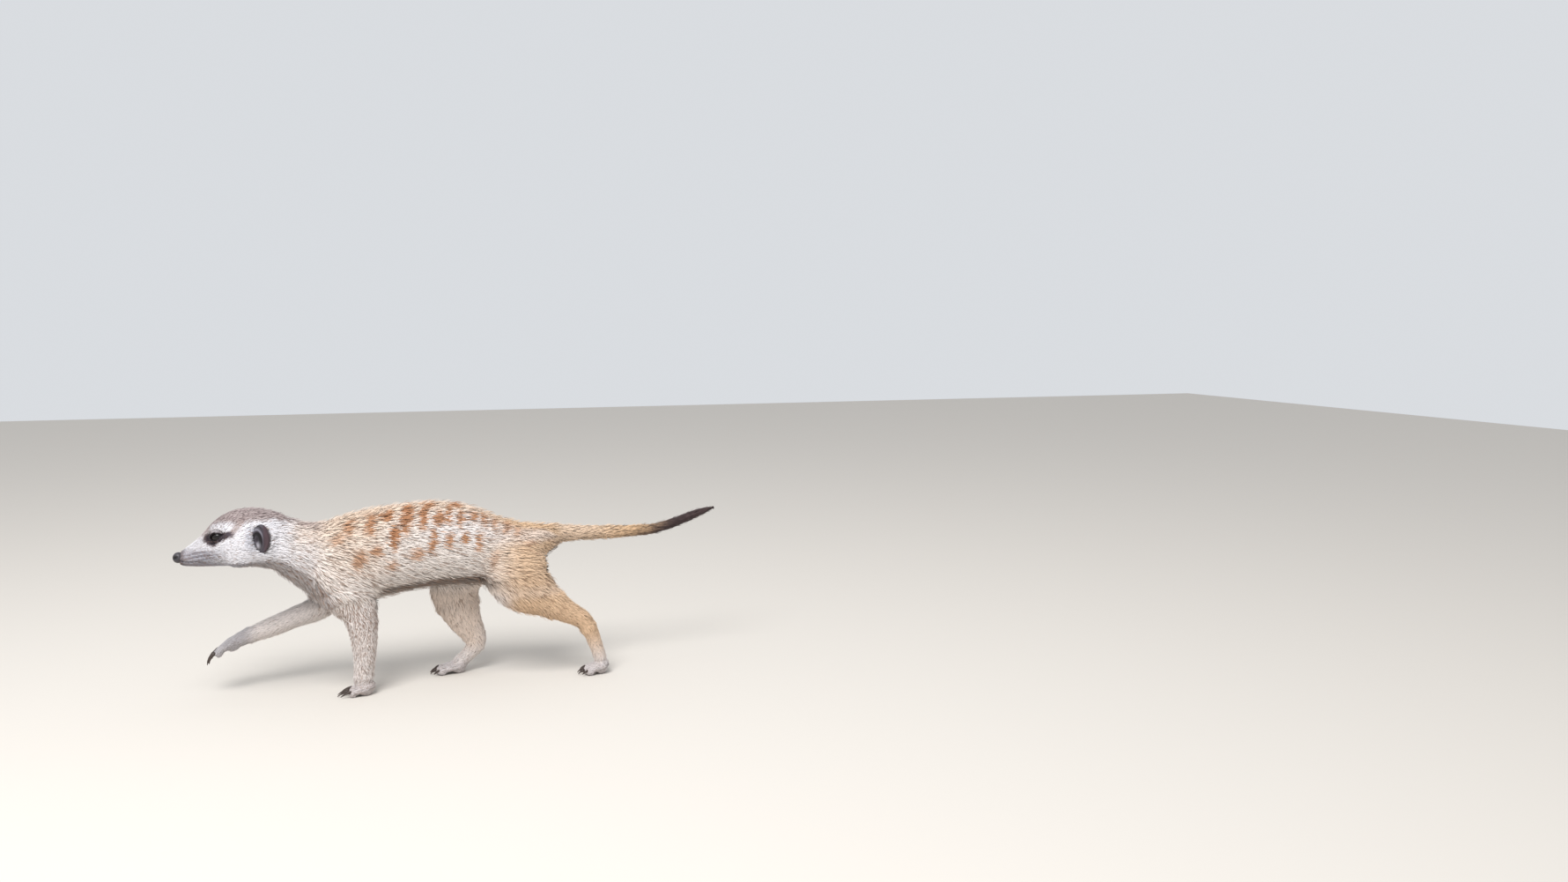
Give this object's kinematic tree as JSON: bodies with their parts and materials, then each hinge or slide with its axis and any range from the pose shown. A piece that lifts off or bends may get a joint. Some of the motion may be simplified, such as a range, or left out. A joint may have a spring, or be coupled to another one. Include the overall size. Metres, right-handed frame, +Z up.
{
  "type": "meerkat museum model",
  "caption": "Life-size still model of a walking meerkat: long low body, pointed muzzle, small oval ears, slender tail, one forefoot lifted forward.",
  "frame": {"origin": "centre of the bounding box at floor level, under the belly", "axes": "+X from nose to tail along the body, +Y to the animal's right, +Z up"},
  "size_m": [0.4504, 0.0634, 0.158],
  "materials": {
    "coat": "short agouti fur, cream to sandy gold, with rust bars over the back",
    "ear": "bare dark skin with short black hair",
    "eye": "wet dark brown eyeball",
    "nose": "moist pebbled dark skin",
    "claw": "dark horn"
  },
  "bodies": {
    "root": {"head": "coat", "neck": "coat", "trunk": "coat", "tail_base": "coat", "tail_middle": "coat", "tail_tip": "coat", "left_elbow": "coat", "left_foreleg": "coat", "left_forefoot": "coat", "right_elbow": "coat", "right_foreleg": "coat", "right_forefoot": "coat", "left_thigh": "coat", "left_shank": "coat", "left_hind_foot": "coat", "right_thigh": "coat", "right_shank": "coat", "right_hind_foot": "coat", "left_ear": "ear", "right_ear": "ear", "left_eye": "eye", "right_eye": "eye", "nose": "nose", "left_fore_claw_1": "claw", "left_fore_claw_2": "claw", "left_fore_claw_3": "claw", "left_fore_claw_4": "claw", "right_fore_claw_1": "claw", "right_fore_claw_2": "claw", "right_fore_claw_3": "claw", "right_fore_claw_4": "claw", "left_hind_claw_1": "claw", "left_hind_claw_2": "claw", "left_hind_claw_3": "claw", "left_hind_claw_4": "claw", "right_hind_claw_1": "claw", "right_hind_claw_2": "claw", "right_hind_claw_3": "claw", "right_hind_claw_4": "claw"}
  },
  "joints": []
}
